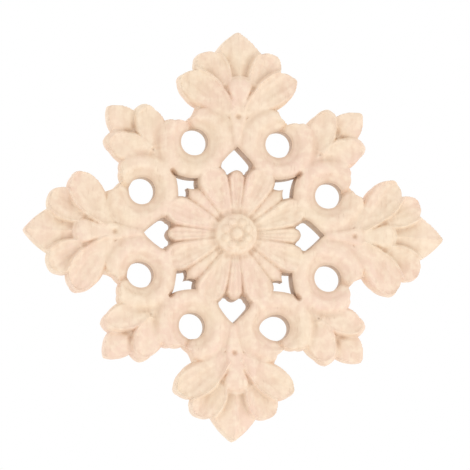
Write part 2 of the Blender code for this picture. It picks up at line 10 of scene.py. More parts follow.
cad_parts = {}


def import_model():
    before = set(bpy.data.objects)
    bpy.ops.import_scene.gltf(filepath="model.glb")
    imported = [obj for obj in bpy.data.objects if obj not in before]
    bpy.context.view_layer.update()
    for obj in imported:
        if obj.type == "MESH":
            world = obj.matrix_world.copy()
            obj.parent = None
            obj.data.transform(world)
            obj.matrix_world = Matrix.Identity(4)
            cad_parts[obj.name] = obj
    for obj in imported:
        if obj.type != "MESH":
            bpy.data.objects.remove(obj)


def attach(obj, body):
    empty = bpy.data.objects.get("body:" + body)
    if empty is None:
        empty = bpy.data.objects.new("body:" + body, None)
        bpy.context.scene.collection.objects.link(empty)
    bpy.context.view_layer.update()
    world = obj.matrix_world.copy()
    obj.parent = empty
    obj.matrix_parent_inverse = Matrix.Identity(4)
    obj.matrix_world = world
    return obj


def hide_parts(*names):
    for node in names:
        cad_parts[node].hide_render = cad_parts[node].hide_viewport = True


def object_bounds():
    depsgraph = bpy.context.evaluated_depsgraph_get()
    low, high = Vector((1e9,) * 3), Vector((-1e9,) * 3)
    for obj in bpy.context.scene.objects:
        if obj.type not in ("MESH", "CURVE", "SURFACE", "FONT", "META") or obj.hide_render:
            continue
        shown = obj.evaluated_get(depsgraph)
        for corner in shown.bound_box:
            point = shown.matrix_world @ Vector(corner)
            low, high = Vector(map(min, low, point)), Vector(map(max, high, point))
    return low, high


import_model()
cad_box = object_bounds()


def mm(*values):
    """Millimetres as metres, one number or a point."""
    scaled = tuple(value * 0.001 for value in values)
    return scaled if len(scaled) > 1 else scaled[0]


# The square that the pattern is drawn on, and the width and height that it is stretched to
PATTERN = mm(150)
WIDTH = mm(152)
HEIGHT = mm(148)
LEAF_TIP = mm(0, 75)
CORNER_TIP = mm(45.4, 45.4)

# Heights over the back: the ground between the lobes, and the least that is left anywhere
GROUND_HEIGHT = mm(5.4)
LEAST_HEIGHT = mm(2.2)

# The outer edge: its height, how far in it is rolled over, and how high the roll would rise
EDGE_HEIGHT = mm(2.6)
EDGE_ROLL = mm(2.3)
ROLL_CREST = mm(10.6)
ROLL_SOFTNESS = mm(0.4)

# How soft the creases are, and how steeply a form falls away outside its border
SOFTNESS = mm(0.35)
CLIFF = 2.6

# Outline of one eighth, from the leaf's tip to the corner leaf's tip: each point, and how far
# the arc that leaves it stands out from its chord
OUTLINE = (
    (LEAF_TIP, mm(0.15)),
    (mm(1.7, 73.9), mm(0.45)),
    (mm(8.1, 66.4), mm(0.5)),
    (mm(12.9, 66.2), mm(0.75)),
    (mm(15.6, 62.7), mm(0.25)),
    (mm(15.5, 59.7), mm(0.45)),
    (mm(19.9, 58.2), mm(0.85)),
    (mm(21.5, 54.9), mm(0.55)),
    (mm(19.0, 49.8), mm(0.35)),
    (mm(14.7, 46.3), mm(-0.15)),
    (mm(16.0, 43.0), mm(0.1)),
    (mm(18.4, 40.8), mm(0.45)),
    (mm(22.4, 41.2), mm(0.35)),
    (mm(25.4, 41.0), mm(0.3)),
    (mm(29.2, 44.7), mm(0.5)),
    (mm(33.0, 46.8), mm(0.4)),
    (mm(36.2, 44.0), mm(0.35)),
    (mm(40.8, 45.7), mm(0.3)),
)

# Openings through the board: a round hole, and the heart-shaped and corner openings as arcs
HOLE_AT = mm(15.1, 33.3)
HOLE_RADIUS = mm(4.8)
HEART_APEX = mm(0, 32.2)
HEART = (
    (HEART_APEX, mm(0.2)),
    (mm(4.9, 26.9), mm(0.9)),
    (mm(4.5, 23.6), mm(0.7)),
    (mm(2.3, 22.4), mm(-0.3)),
)
HEART_CLEFT = mm(0, 23.7)
CORNER_GAP_OUTER = mm(21.8, 21.8)
CORNER_GAP = (
    (mm(16.9, 16.9), mm(0.5)),
    (mm(13.3, 17.0), mm(-0.2)),
    (mm(13.6, 20.3), mm(-0.4)),
)

# The pits beside a heart-shaped opening, where a petal and a sepal part
CLEFT_AT = mm(3.0, 22.2)
CLEFT_RADIUS = mm(0.75)
CLEFT_DEPTH = mm(2.2)

# The cut on the diagonal from a corner opening out between two scrolls
CREVICE_END = mm(22.7, 22.7)
CREVICE_WIDTH = mm(1.1)
CREVICE_DEPTH = mm(2.4)

# The cut openings lean in by this much towards the back. The drilled holes don't, and an opening
# counts as drilled where its reach from its middle varies by less than the second value.
LEAN = mm(0.3)
ROUNDNESS = mm(0.8)

# The scroll round a hole: how far it reaches from the hole's centre in each direction (degrees,
# counted from +x towards +y), and its height by distance from that centre
SCROLL_REACH = (
    (-150, mm(12.4)),
    (-120, mm(12.6)),
    (-90, mm(13.4)),
    (-60, mm(13.6)),
    (-40, mm(13.6)),
    (-10, mm(14.8)),
    (15, mm(13.4)),
    (36, mm(12.0)),
    (55, mm(9.8)),
    (67, mm(8.8)),
    (84, mm(10.6)),
    (108, mm(13.1)),
    (130, mm(14.2)),
    (150, mm(15.0)),
    (170, mm(15.4)),
    (185, mm(15.0)),
)
SCROLL_SECTION = (
    (mm(4.8), mm(4.6)),
    (mm(5.4), mm(5.4)),
    (mm(6.0), mm(5.8)),
    (mm(7.2), mm(6.4)),
    (mm(8.5), mm(7.4)),
    (mm(9.8), mm(7.7)),
    (mm(11.2), mm(7.5)),
    (mm(12.4), mm(7.1)),
    (mm(13.6), mm(6.7)),
)

# The crease outside a scroll: its radius, its width, and its depth by direction
MOAT_RADIUS = mm(13.4)
MOAT_WIDTH = mm(1.2)
MOAT = (
    (-40, mm(0)),
    (-20, mm(0.6)),
    (-8, mm(1.0)),
    (10, mm(0.7)),
    (28, mm(0.4)),
    (42, mm(0)),
    (75, mm(0)),
    (90, mm(0.3)),
    (115, mm(0.5)),
    (135, mm(0.35)),
    (160, mm(0)),
)

# The groove from a hole's edge out to the notch beyond it, where the scroll's ends meet
SEAM = (mm(15.9, 37.8), mm(17.8, 41.6))
SEAM_WIDTH = mm(1.2)
SEAM_DEPTH = mm(1.4)

# Flower: where its petals start and how far they reach, and its centre
FLOWER_ROOT = mm(6.6)
PETAL_ANGLE = 23.2
PETAL_REACH = mm(26.4)
SEPAL_REACH = mm(23.8)
CORNER_SEPAL_REACH = mm(23.6)
DOME_RADIUS = mm(7.3)
DOME_EDGE = mm(7.4)
DOME_HEIGHT = mm(9.0)
KNOB_RADIUS = mm(2.1)
KNOB_HEIGHT = mm(9.8)
KNOB_FOOT = mm(8.5)
KNOB_GROOVE_RADIUS = mm(2.4)
KNOB_GROOVE_WIDTH = mm(0.6)
KNOB_GROOVE_DEPTH = mm(0.4)
SEED_RING = mm(4.5)
SEED_RADIUS = mm(1.45)
SEED_RISE = mm(1.0)
SEED_COUNT = 8
DOME_HOLLOW_RADIUS = mm(8.4)
DOME_HOLLOW_WIDTH = mm(1.1)
DOME_HOLLOW_DEPTH = mm(0.6)

# Large leaf: its bulb, the pits beside that, and the pit in its stem
BULB_AT = mm(0, 53.2)
BULB_RADIUS = mm(4.0)
BULB_HEIGHT = mm(8.5)
PIT_AT = mm(5.4, 53.2)
PIT_RADIUS = mm(1.1)
PIT_DEPTH = mm(0.8)
STEM_PIT_AT = mm(0, 42.8)
STEM_PIT_RADIUS = mm(0.9)
STEM_PIT_DEPTH = mm(1.3)

# The raised rim along a lobe's edge: how far inside it, how wide, its share at the lobe's middle
# and how that grows across it, its share on the far side, and where along the lobe it turns round
# the end and over what length
BRIM_INSIDE = mm(1.0)
BRIM_WIDTH = mm(0.5)
BRIM_MIDDLE = 0.6
BRIM_GROWTH = 1.2
BRIM_FAR_SIDE = 0.15
BRIM_TURN = 0.75
BRIM_TURN_LENGTH = 0.15

# Fine veins along the petals and the lobes
VEIN_DEPTH = mm(0.09)
VEIN_COUNT = 5

# The low plate that the stem and the bulb stand on
WEB_AT = mm(0, 50.3)
WEB_RADIUS = mm(7.4)
WEB_HEIGHT = mm(6.7)

# Small leaf on the corner: the hollow where its lobes part, and the groove between two of them
CORNER_PIT_AT = mm(35.7, 38.2)
CORNER_PIT_RADIUS = mm(1.8)
CORNER_PIT_DEPTH = mm(0.9)
CORNER_GROOVE = (mm(35.8, 38.0), mm(36.3, 42.8))
CORNER_GROOVE_WIDTH = mm(1.7)
CORNER_GROOVE_DEPTH = mm(0.4)

# The facets that two gouges leave, as length and height, and the level at which the noise is read
GOUGE_MARKS = ((mm(4.5), mm(0.16)), (mm(1.6), mm(0.07)))
MARKS_LEVEL = 5.1

# How finely the carving is cut. The grid keeps a share of its step from the borders, points that
# fall in one cell of the weld's size are joined, and edges over the sharp angle, in degrees, are
# shaded sharp.
OUTLINE_STEP = mm(0.5)
GRID_STEP = mm(0.38)
GRID_CLEARANCE = 0.6
WALL_ROWS = 3
WELD = mm(0.002)
SHARP_ANGLE = 70

# A lobe's or petal's border: its steps from base to tip, how they crowd towards the tip, and the
# half-width that it counts as having at the least
CURVE_STEPS = 24
CURVE_CROWDING = 1.6
LEAST_HALF_WIDTH = mm(0.4)

# How dark the outer walls and the back are made, next to the painted shade on the openings' walls as 1
OUTER_WALL_SHADE = 0.0
BACK_DARKENING = 0.25

# How deep a place lies under its surroundings where its painted shade is as dark as it gets, and how
# many times the surroundings are spread; places above their surroundings get painted highlight
# instead. The outer edge gets
# neither from this: the measure starts within it and has its full weight further in.
FULL_HOLLOW = mm(0.9)
SPREADING_STEPS = 26
HOLLOW_START = mm(1.6)
HOLLOW_FADE = mm(4)

# The painted highlight along the outer edge: how pale, and how far in
EDGE_HIGHLIGHT = 0.3
EDGE_HIGHLIGHT_WIDTH = mm(1.3)

# The painted shade on the face along an opening's edge: how dark, and how far in
OPENING_SHADE = 1.3
OPENING_SHADE_WIDTH = mm(0.9)

# Wood colours, linear
YELLOW_WOOD = (0.83, 0.67, 0.505, 1)
PINK_WOOD = (0.83, 0.62, 0.495, 1)
BRIGHT_WOOD = (0.90, 0.75, 0.585, 1)
# Painted highlight, on ridges and along the outer edge
PAINTED_HIGHLIGHT_WOOD = (0.95, 0.82, 0.67, 1)
GRAIN_WOOD = (0.72, 0.51, 0.37, 1)
PORE_WOOD = (0.50, 0.33, 0.21, 1)
# Painted shade, in hollows and along the openings' edges
PAINTED_SHADE_WOOD = (0.60, 0.42, 0.29, 1)
# Painted shade on the openings' walls, and a lighter darkening of the back
WALL_SHADE_WOOD = (0.36, 0.22, 0.13, 1)

# How strongly each of them shows
GRAIN_WEIGHT = 0.4
BRIGHT_WEIGHT = 0.6
PORE_WEIGHT = 0.2
PAINTED_SHADE_WEIGHT = 0.6
PAINTED_HIGHLIGHT_WEIGHT = 0.6
WALL_SHADE_WEIGHT = 0.5

# How fine each pattern in the wood is, as repeats to a metre, with a second value along the grain
PATCH_SCALE = 55
BRIGHT_SCALE = 400
SCATTER_SCALE = 160
GRAIN_SCALE = (420, 34)
PORE_SCALE = (900, 210)

# The part of each pattern's values that is spread from none to full
PATCH_RANGE = (0.38, 0.62)
GRAIN_RANGE = (0.42, 0.68)
BRIGHT_RANGE = (0.44, 0.66)
SCATTER_RANGE = (0.45, 0.65)
PORE_RANGE = (0.34, 0.12)
# The painted shade and the painted highlight, both read from one value that the mesh carries
PAINTED_SHADE_RANGE = (0, 1)
PAINTED_HIGHLIGHT_RANGE = (0, -0.4)

# The wood's roughness off and on the darker grain, and its pores' relief
ROUGHNESS = (0.58, 0.72)
PORE_STRENGTH = 0.35
PORE_DEPTH = mm(0.15)

# The light from all round: its strength in front of the board and behind it, and the two values of
# a direction's y between which it changes
FRONT_LIGHT = 0.88
BACK_LIGHT = 1.23
FRONT_DIRECTION = -1.0
BACK_DIRECTION = 0.35

# The two lamps: where each stands, how wide it is, and its power in watts
KEY_LIGHT = ((0.85, -0.8, -0.35), 0.5, 1.3)
FILL_LIGHT = ((0, -0.8, -0.5), 0.6, 1.4)

# The pale floor below the board
FLOOR_SIZE = 2
FLOOR_AT = (0, 0, -0.6)
FLOOR_COLOUR = (0.92, 0.915, 0.9, 1)
FLOOR_ROUGHNESS = 0.8

# The camera: the point that it looks at, its direction and roll in degrees, its distance, and the
# width that it takes in there
CAMERA_TARGET = (0, -0.004, 0)
CAMERA_AZIMUTH = -10.0
CAMERA_ELEVATION = -6.5
CAMERA_ROLL = 0.6
CAMERA_DISTANCE = 2.4
FRAME_WIDTH = 0.168

# How the carver's hand strays from the pattern: round each place, a shift that fades over a radius
STRAYS = (
    (mm(0, 76), mm(0, -0.8), mm(7)),
    (mm(0, 58), mm(0.7, 0), mm(14)),
    (mm(42, 42), mm(-0.2, 0.5), mm(14)),
    (mm(60, 0), mm(-0.1, 0.9), mm(16)),
    (mm(42, -42), mm(0.6, 0.4), mm(14)),
    (mm(0, -58), mm(0.6, -0.3), mm(14)),
    (mm(-42, -42), mm(-0.7, -0.3), mm(14)),
    (mm(-58, 0), mm(-0.6, -0.4), mm(14)),
    (mm(-42, 42), mm(-0.5, 0.3), mm(14)),
    (mm(-28, 0), mm(-0.9, -0.5), mm(15)),
    (mm(0, 28), mm(0, -0.5), mm(7)),
    (mm(30, 0), mm(-0.7, 0.4), mm(12)),
    (mm(0, -32), mm(-0.75, -0.45), mm(14)),
    (mm(-18, 18), mm(-0.5, -0.5), mm(7)),
    (mm(-18, -18), mm(-0.9, -0.1), mm(7)),
    (mm(-33, -15), mm(-0.3, -0.4), mm(8)),
    (mm(-15, -33), mm(0.1, -0.3), mm(8)),
    (mm(15, -33), mm(-0.1, -0.1), mm(8)),
    (mm(9.6, -33), mm(-1.1, -0.4), mm(3.2)),
    (mm(-20, 55), mm(0.6, 0), mm(9)),
    (mm(55, -21), mm(0, 0.8), mm(9)),
    (mm(-20, -55), mm(0.5, -0.3), mm(9)),
    (mm(-52, -20), mm(-0.2, -0.8), mm(10)),
)


def arc(start, end, rise, step):
    """Points on the arc from start up to end, leaving end out. It stands out to the left by rise."""
    start = np.array(start)
    chord = np.array(end) - start
    length = math.hypot(*chord)
    along = chord / length
    left = np.array((-along[1], along[0]))
    count = max(1, round(length / step))
    way = np.arange(count) / count
    if rise == 0:
        return start + way[:, None] * chord
    size = abs(rise)
    radius = (length**2 / 4 + size**2) / (2 * size)
    turn = (2 * way - 1) * math.asin(length / 2 / radius)
    forward = length / 2 + radius * np.sin(turn)
    aside = math.copysign(1, rise) * (radius * np.cos(turn) - radius + size)
    return start + forward[:, None] * along + aside[:, None] * left


def arcs(corners, last, step):
    """The points of a row of arcs, with its last point."""
    ends = [point for point, _ in corners[1:]] + [last]
    runs = [arc(point, end, rise, step) for (point, rise), end in zip(corners, ends)]
    return np.vstack(runs + [np.array([last])])


def straight(start, end, step):
    """Points between start and end, leaving both out."""
    return arc(start, end, 0, step)[1:]


def ease(where, knots):
    """A smooth curve through (place, value) knots, level beyond its ends."""
    places, values = (np.array(column, float) for column in zip(*knots))
    slopes = np.gradient(values, places)
    where = np.clip(where, places[0], places[-1])
    index = np.clip(np.searchsorted(places, where, side="right") - 1, 0, len(places) - 2)
    span = places[index + 1] - places[index]
    way = (where - places[index]) / span
    start_share = (1 + 2 * way) * (1 - way) ** 2
    end_share = way**2 * (3 - 2 * way)
    start_pull = way * (1 - way) ** 2 * span * slopes[index]
    end_pull = -(way**2) * (1 - way) * span * slopes[index + 1]
    return start_share * values[index] + end_share * values[index + 1] + start_pull + end_pull


def depth_inside(points, loop):
    """How far each point is inside a closed loop, negative outside."""
    nearest = np.full(len(points), np.inf)
    inside = np.zeros(len(points), bool)
    for start, end in zip(loop, np.roll(loop, -1, axis=0)):
        edge = end - start
        offset = points - start
        share = np.clip(offset @ edge / (edge @ edge), 0, 1)
        nearest = np.minimum(nearest, ((offset - share[:, None] * edge) ** 2).sum(axis=1))
        crosses = (points[:, 1] < start[1]) != (points[:, 1] < end[1])
        if edge[1] != 0:
            inside ^= crosses & (offset[:, 0] < edge[0] * offset[:, 1] / edge[1])
    return np.where(inside, 1, -1) * np.sqrt(nearest)


def higher(first, second, soft=SOFTNESS):
    """The greater of two heights, with the crease between them softened."""
    return (first + second + np.sqrt((first - second) ** 2 + soft**2)) / 2


def lower(first, second, soft=SOFTNESS):
    """The lesser of two heights, with the ridge between them softened."""
    return -higher(-first, -second, soft)


def pillow(depth, crest, edge, roll):
    """A swelling: crest inside, rolled over to edge at its border, and falling away outside."""
    rise = np.sqrt(1 - (1 - np.clip(depth / roll, 0, 1)) ** 2)
    return np.where(depth > 0, edge + (crest - edge) * rise, edge + CLIFF * depth)


def brim(depth, way, across, rise):
    """The raised rim round a lobe's end and down its left side, or with a negative rise its right."""
    share = np.clip(BRIM_MIDDLE + BRIM_GROWTH * across * np.sign(rise), BRIM_FAR_SIDE, 1)
    share = np.maximum(share, np.clip((way - BRIM_TURN) / BRIM_TURN_LENGTH, 0, 1))
    return abs(rise) * share * np.exp(-(((depth - BRIM_INSIDE) / BRIM_WIDTH) ** 2))


def veins(way, across):
    """Fine grooves along a lobe or petal, fading at its base, as a height."""
    return VEIN_DEPTH * np.cos(math.pi * VEIN_COUNT * across) * np.clip(3 * way - 0.5, 0, 1)


def dished(way, across, depth, middle, spread):
    """A long hollow in a lobe or petal: its depth, and its middle and spread across and along it."""
    aside = (across - middle[0]) / spread[0]
    along = (way - middle[1]) / spread[1]
    return depth * np.exp(-(aside**2) - along**2)


def dent(points, centre, radius, depth):
    """A round hollow, as a gouge's point leaves it."""
    reach = np.hypot(*(points - np.array(centre)).T) / radius
    return depth * np.exp(-(reach**2))


def cut(points, start, end, width, depth):
    """A straight groove of V section."""
    start = np.array(start)
    run = np.array(end) - start
    offset = points - start
    share = np.clip(offset @ run / (run @ run), 0, 1)
    away = np.hypot(*(offset - share[:, None] * run).T)
    return depth * np.clip(1 - away / width, 0, 1)


class Blade:
    """A leaf-shaped piece of the carving: an axis from base to tip, and half-widths along it."""

    def __init__(self, base, tip, widths, round_from=0.8, bow=0.0):
        self.base = np.array(base)
        run = np.array(tip) - self.base
        self.length = math.hypot(*run)
        self.along = run / self.length
        self.left = np.array((-self.along[1], self.along[0]))
        self.widths = widths
        self.round_from = round_from
        self.bow = bow

    def bend(self, way):
        """How far the bowed axis stands to the left of the straight one."""
        return 4 * self.bow * way * (1 - way)

    def half_width(self, way):
        """Half the width along the axis, closed by a round end."""
        end = np.clip((way - self.round_from) / (1 - self.round_from), 0, 1)
        return ease(way, self.widths) * np.sqrt(1 - end**2)

    def loop(self):
        """The blade's border, with its points closer together towards the tip."""
        way = 1 - np.linspace(1, 0, CURVE_STEPS) ** CURVE_CROWDING
        width = self.half_width(way)
        axis = self.base + way[:, None] * self.length * self.along
        bend = self.bend(way)
        left_side = axis + (bend + width)[:, None] * self.left
        right_side = axis + (bend - width)[:, None] * self.left
        return np.vstack([right_side, left_side[-2::-1]])

    def measure(self, points):
        """For each point its way along the axis (0 to 1), its place across it (-1 to 1, left
        positive), and its depth inside the blade's edge."""
        offset = points - self.base
        way = np.clip(offset @ self.along / self.length, 0, 1)
        width = np.maximum(self.half_width(way), LEAST_HALF_WIDTH)
        across = np.clip((offset @ self.left - self.bend(way)) / width, -1, 1)
        return way, across, depth_inside(points, self.loop())


def polar(reach, degrees):
    """A plan point at that distance from the centre, turned from +y towards +x."""
    angle = math.radians(degrees)
    return (reach * math.sin(angle), reach * math.cos(angle))


def round_hole(points):
    """Each point's distance from the hole's centre, and its direction in degrees."""
    offset = points - np.array(HOLE_AT)
    return np.hypot(*offset.T), np.degrees(np.arctan2(offset[:, 1], offset[:, 0]))


def scroll(points):
    """The C-scroll round a hole: a funnel, and a raised ring round it."""
    distance, heading = round_hole(points)
    first = SCROLL_REACH[0]
    last = SCROLL_REACH[-1]
    knots = ((last[0] - 360, last[1]),) + SCROLL_REACH + ((first[0] + 360, first[1]),)
    reach = ease(heading, knots)
    reach = np.where(heading < first[0], ease(heading + 360, knots), reach)
    body = ease(distance, SCROLL_SECTION)
    fallen = ease(reach, SCROLL_SECTION) - CLIFF * (distance - reach)
    return np.where(distance < reach, body, fallen)


def moat(points):
    """The crease outside a scroll, as a depth."""
    distance, heading = round_hole(points)
    return ease(heading, MOAT) * np.exp(-(((distance - MOAT_RADIUS) / MOAT_WIDTH) ** 2))


def petal(points):
    """A spoon-shaped petal with a raised rim and a dished middle."""
    widths = ((0, mm(1.7)), (0.3, mm(3.3)), (0.6, mm(4.8)), (0.85, mm(5.5)), (1, mm(5.2)))
    base = polar(FLOWER_ROOT, PETAL_ANGLE)
    blade = Blade(base, polar(PETAL_REACH, PETAL_ANGLE), widths, round_from=0.74)
    way, across, depth = blade.measure(points)
    crest = ease(way, ((0, mm(7.0)), (0.4, mm(7.4)), (0.75, mm(8.0)), (1, mm(7.5))))
    hollow = dished(way, across, mm(1.0), (0, 0.62), (0.55, 0.3))
    body = pillow(depth, crest, mm(6.4), mm(1.7)) - hollow
    return body + brim(depth, way, 1, mm(0.3)) + veins(way, across)


def sepal(points):
    """The three-ribbed sepal on a cardinal axis."""
    widths = ((0, mm(1.2)), (0.4, mm(2.1)), (0.7, mm(2.7)), (0.9, mm(2.8)), (1, mm(2.3)))
    blade = Blade(polar(FLOWER_ROOT, 0), polar(SEPAL_REACH, 0), widths, round_from=0.84)
    way, across, depth = blade.measure(points)
    crest = ease(way, ((0, mm(6.7)), (0.6, mm(7.0)), (1, mm(6.5))))
    ribs = mm(0.22) * np.cos(3 * math.pi * across) * np.clip(way * 4, 0, 1)
    return pillow(depth, crest + ribs, mm(6.0), mm(0.8))


def corner_sepal(points):
    """The narrow tongue on a diagonal."""
    widths = ((0, mm(0.9)), (0.4, mm(1.7)), (0.75, mm(2.4)), (1, mm(1.9)))
    tip = polar(CORNER_SEPAL_REACH, 45)
    blade = Blade(polar(FLOWER_ROOT, 45), tip, widths, round_from=0.8)
    way, across, depth = blade.measure(points)
    crest = ease(way, ((0, mm(6.6)), (0.6, mm(6.9)), (1, mm(6.2)))) - mm(0.3) * np.abs(across)
    return pillow(depth, crest, mm(5.8), mm(1.2))


def centre(points):
    """The domed centre with its ring of seeds and its knob."""
    distance = np.hypot(*points.T)
    dome_share = np.clip(1 - (distance / DOME_RADIUS) ** 2, 0, None)
    dome = DOME_EDGE + (DOME_HEIGHT - DOME_EDGE) * np.sqrt(dome_share)
    for index in range(SEED_COUNT):
        at = polar(SEED_RING, (index + 0.5) * 360 / SEED_COUNT)
        away = np.hypot(*(points - np.array(at)).T) / SEED_RADIUS
        dome = dome + SEED_RISE * np.sqrt(np.clip(1 - away**2, 0, 1))
    knob_share = np.clip(1 - (distance / KNOB_RADIUS) ** 2, 0, None)
    knob = KNOB_FOOT + (KNOB_HEIGHT - KNOB_FOOT) * np.sqrt(knob_share)
    knob = np.where(distance < KNOB_RADIUS, knob, 0)
    groove = np.exp(-(((distance - KNOB_GROOVE_RADIUS) / KNOB_GROOVE_WIDTH) ** 2))
    dome = np.maximum(dome - KNOB_GROOVE_DEPTH * groove, knob)
    return np.where(distance < DOME_RADIUS, dome, DOME_EDGE - CLIFF * (distance - DOME_RADIUS))


def middle_lobe(points):
    """The pointed lobe at a large leaf's end, ridged down its middle."""
    widths = ((0, mm(2.6)), (0.2, mm(3.2)), (0.38, mm(5.2)), (0.53, mm(8.4)), (1, mm(0.3)))
    blade = Blade(mm(0, 56.2), mm(0, 75.6), widths, round_from=0.97)
    way, across, depth = blade.measure(points)
    crest = ease(way, ((0, mm(6.6)), (0.5, mm(7.0)), (1, mm(6.0))))
    gable = mm(1.6) * np.abs(across) ** 0.75
    flare = mm(0.3) * np.clip((np.abs(across) - 0.5) / 0.5, 0, 1) ** 2
    return pillow(depth, crest - gable + flare, mm(5.1), mm(1.1))


def second_lobe(points):
    """The rounded lobe beside the middle one."""
    widths = ((0, mm(2.6)), (0.3, mm(5.4)), (0.6, mm(6.3)), (0.85, mm(5.6)), (1, mm(4.6)))
    blade = Blade(mm(5.2, 51.2), mm(13.6, 67.2), widths, round_from=0.78, bow=mm(0.4))
    way, across, depth = blade.measure(points)
    crest = ease(way, ((0, mm(6.1)), (0.4, mm(7.1)), (0.75, mm(7.2)), (1, mm(6.5))))
    hollow = dished(way, across, mm(1.1), (-0.1, 0.6), (0.45, 0.3))
    body = pillow(depth, crest + mm(0.3) * across - hollow, mm(5.6), mm(1.3))
    return body + brim(depth, way, across, mm(0.7)) + veins(way, across)


def tongue_lobe(points):
    """The big lobe that lies over the others, with a high rim along its inner edge beside a long
    hollow."""
    widths = ((0, mm(1.9)), (0.25, mm(4.2)), (0.5, mm(6.0)), (0.8, mm(5.9)), (1, mm(5.2)))
    blade = Blade(mm(1.9, 44.3), mm(21.2, 58.2), widths, round_from=0.8, bow=mm(0.7))
    way, across, depth = blade.measure(points)
    crest = ease(way, ((0, mm(7.1)), (0.4, mm(7.2)), (0.75, mm(7.3)), (1, mm(6.6))))
    edge = ease(way, ((0, mm(6.8)), (0.35, mm(6.2)), (1, mm(5.7))))
    tilt = mm(0.5) * across
    hollow = dished(way, across, mm(1.1), (0.05, 0.62), (0.42, 0.34))
    body = pillow(depth, crest + tilt - hollow, edge, mm(1.2))
    return body + brim(depth, way, across, mm(1.0)) + veins(way, across)


def stem(points):
    """The rib from the heart-shaped opening up to the bulb."""
    widths = ((0, mm(1.0)), (0.35, mm(1.9)), (0.55, mm(2.9)), (0.7, mm(3.1)), (1, mm(2.6)))
    blade = Blade(mm(0, 31.0), mm(0, 51.5), widths, round_from=0.95)
    way, across, depth = blade.measure(points)
    crest = ease(way, ((0, mm(7.2)), (0.5, mm(7.5)), (1, mm(7.8))))
    edge = ease(way, ((0, mm(6.1)), (0.5, mm(6.7)), (1, mm(7.0))))
    return pillow(depth, crest, edge, mm(1.4))


def bulb(points):
    """The rounded knob where the lobes of a large leaf part."""
    widths = ((0, mm(1.9)), (0.35, mm(3.0)), (0.7, mm(4.4)), (1, mm(4.6)))
    root = (0, BULB_AT[1] - 2 * BULB_RADIUS)
    end = (0, BULB_AT[1] + BULB_RADIUS)
    blade = Blade(root, end, widths, round_from=0.7)
    way, across, depth = blade.measure(points)
    crest = ease(way, ((0, mm(7.2)), (0.65, BULB_HEIGHT), (1, mm(7.8))))
    edge = ease(way, ((0, mm(7.1)), (0.5, mm(6.8)), (1, mm(6.3))))
    return pillow(depth, crest, edge, mm(1.8))


def corner_side_lobe(points):
    """One of the two outer lobes of a small leaf."""
    widths = ((0, mm(2.6)), (0.3, mm(5.0)), (0.6, mm(5.2)), (0.85, mm(4.2)), (1, mm(3.2)))
    blade = Blade(mm(28.5, 30.4), mm(32.6, 46.4), widths, round_from=0.82, bow=mm(-0.3))
    way, across, depth = blade.measure(points)
    crest = ease(way, ((0, mm(6.9)), (0.45, mm(7.3)), (1, mm(6.5))))
    hollow = dished(way, across, mm(0.7), (0.1, 0.6), (0.4, 0.35))
    tilt = mm(-0.4) * across
    body = pillow(depth, crest + tilt - hollow, mm(5.6), mm(1.3))
    return body + brim(depth, way, across, mm(-0.6))


def corner_middle_lobe(points):
    """The diamond-shaped lobe at a small leaf's end."""
    widths = ((0, mm(1.6)), (0.45, mm(5.6)), (0.62, mm(5.6)), (1, mm(0.3)))
    blade = Blade(polar(mm(50.5), 45), polar(mm(64.6), 45), widths, round_from=0.97)
    way, across, depth = blade.measure(points)
    crest = ease(way, ((0, mm(5.3)), (0.4, mm(5.8)), (0.75, mm(6.2)), (1, mm(5.8))))
    gable = mm(1.0) * np.abs(across) ** 0.9 * np.clip(1.3 - way, 0.3, 1)
    flare = mm(0.4) * np.clip((np.abs(across) - 0.6) / 0.4, 0, 1) ** 2
    return pillow(depth, crest - gable + flare, mm(4.8), mm(0.9))


def web(points):
    """The wood left between the stem, the bulb and the lobes beside them."""
    distance = np.hypot(*(points - np.array(WEB_AT)).T)
    return WEB_HEIGHT - CLIFF * np.clip(distance - WEB_RADIUS, 0, None)


FEATURES = (
    web,
    scroll,
    petal,
    sepal,
    corner_sepal,
    centre,
    middle_lobe,
    second_lobe,
    tongue_lobe,
    stem,
    bulb,
    corner_side_lobe,
    corner_middle_lobe,
)


def mirror_images(points):
    """The plan points, and their images across the cardinal axis and the diagonal."""
    return (points, points * np.array((-1, 1)), points[:, ::-1])


def relief(points, rim):
    """The height of the carved face over the back, in the first eighth."""
    height = np.full(len(points), GROUND_HEIGHT)
    for feature in FEATURES:
        for image in mirror_images(points):
            height = higher(height, feature(image))
    height = height - cut(points, CORNER_GAP_OUTER, CREVICE_END, CREVICE_WIDTH, CREVICE_DEPTH)
    for image in mirror_images(points):
        height = height - dent(image, CLEFT_AT, CLEFT_RADIUS, CLEFT_DEPTH)
        height = height - dent(image, PIT_AT, PIT_RADIUS, PIT_DEPTH)
        height = height - dent(image, CORNER_PIT_AT, CORNER_PIT_RADIUS, CORNER_PIT_DEPTH)
        height = height - cut(image, *SEAM, SEAM_WIDTH, SEAM_DEPTH)
        height = height - moat(image)
        height = height - cut(image, *CORNER_GROOVE, CORNER_GROOVE_WIDTH, CORNER_GROOVE_DEPTH)
    height = height - dent(points, STEM_PIT_AT, STEM_PIT_RADIUS, STEM_PIT_DEPTH)
    beside_dome = (np.hypot(*points.T) - DOME_HOLLOW_RADIUS) / DOME_HOLLOW_WIDTH
    height = height - DOME_HOLLOW_DEPTH * np.exp(-(beside_dome**2))
    border = pillow(depth_inside(points, rim), ROLL_CREST, EDGE_HEIGHT, EDGE_ROLL)
    return np.maximum(lower(height, border, ROLL_SOFTNESS), LEAST_HEIGHT)


def full_rim():
    """The applique's whole outer outline, for measuring how near its edge a point is."""
    eighth = arcs(OUTLINE, CORNER_TIP, OUTLINE_STEP)
    quarter = np.vstack([eighth, eighth[-2::-1, ::-1]])
    half = np.vstack([quarter, (quarter * np.array((1, -1)))[-2::-1]])
    return np.vstack([half, (half * np.array((-1, 1)))[-2:0:-1]])


